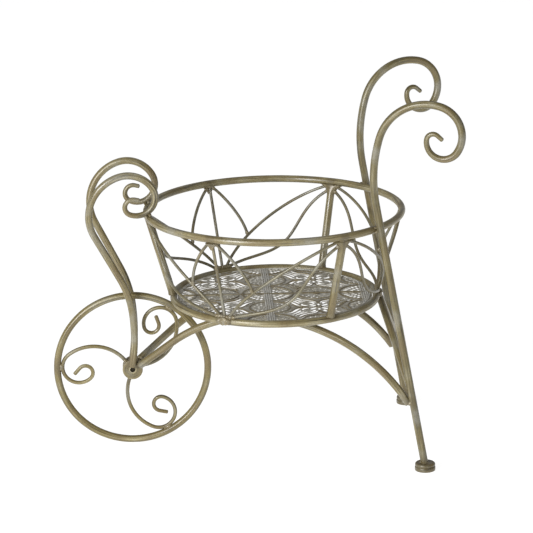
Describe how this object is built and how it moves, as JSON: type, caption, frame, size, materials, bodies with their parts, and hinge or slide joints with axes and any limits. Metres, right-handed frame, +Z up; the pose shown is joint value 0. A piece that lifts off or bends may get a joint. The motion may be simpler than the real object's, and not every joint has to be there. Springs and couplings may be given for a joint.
{
  "type": "wheelbarrow planter",
  "caption": "Openwork metal planter shaped like a small wheelbarrow: a round wire basket on scrolled rods, with a turning spoked wheel in front and scrolled handles behind.",
  "frame": {"origin": "on the ground, under the middle of the bounding box", "axes": "+X along the barrow from the wheel towards the handles, +Z up, +Y to the right of someone holding the handles"},
  "size_m": [0.5551, 0.36, 0.5115],
  "materials": {
    "rod_paint": "satin, antique bronze with brushed streaks",
    "wire_paint": "satin, antique bronze",
    "wheel_paint": "satin, antique bronze",
    "plate_paint": "satin, greyed antique bronze",
    "foot_paint": "satin, darker antique bronze"
  },
  "bodies": {
    "frame": {"axle_sleeve": "rod_paint", "axle_lug_left": "rod_paint", "axle_lug_right": "rod_paint", "fork_scroll_left": "rod_paint", "fork_scroll_right": "rod_paint", "arch_left": "rod_paint", "arch_right": "rod_paint", "leg_left": "rod_paint", "leg_right": "rod_paint", "foot_left": "foot_paint", "foot_right": "foot_paint", "brace_left": "rod_paint", "brace_right": "rod_paint", "top_ring": "rod_paint", "base_ring": "rod_paint", "base_plate": "plate_paint", "post_front": "rod_paint", "post_left": "rod_paint", "post_right": "rod_paint", "midrib_rear": "wire_paint", "midrib_left": "wire_paint", "midrib_right": "wire_paint", "upper_wires_rear": "wire_paint", "upper_wires_left": "wire_paint", "upper_wires_right": "wire_paint", "lower_wires_rear": "wire_paint", "lower_wires_left": "wire_paint", "lower_wires_right": "wire_paint", "leaf_wires_rear": "wire_paint", "leaf_wires_left": "wire_paint", "leaf_wires_right": "wire_paint"},
    "wheel": {"wheel_rim": "wheel_paint", "wheel_hub": "wheel_paint", "spoke_front": "wheel_paint", "spoke_lower": "wheel_paint", "spoke_upper": "wheel_paint"}
  },
  "joints": [
    {"name": "wheel_turn", "type": "hinge", "parent": "frame", "child": "wheel", "pos_m": [-0.16825, 0, 0.10935], "axis": [0, 1, 0], "continuous": true}
  ]
}
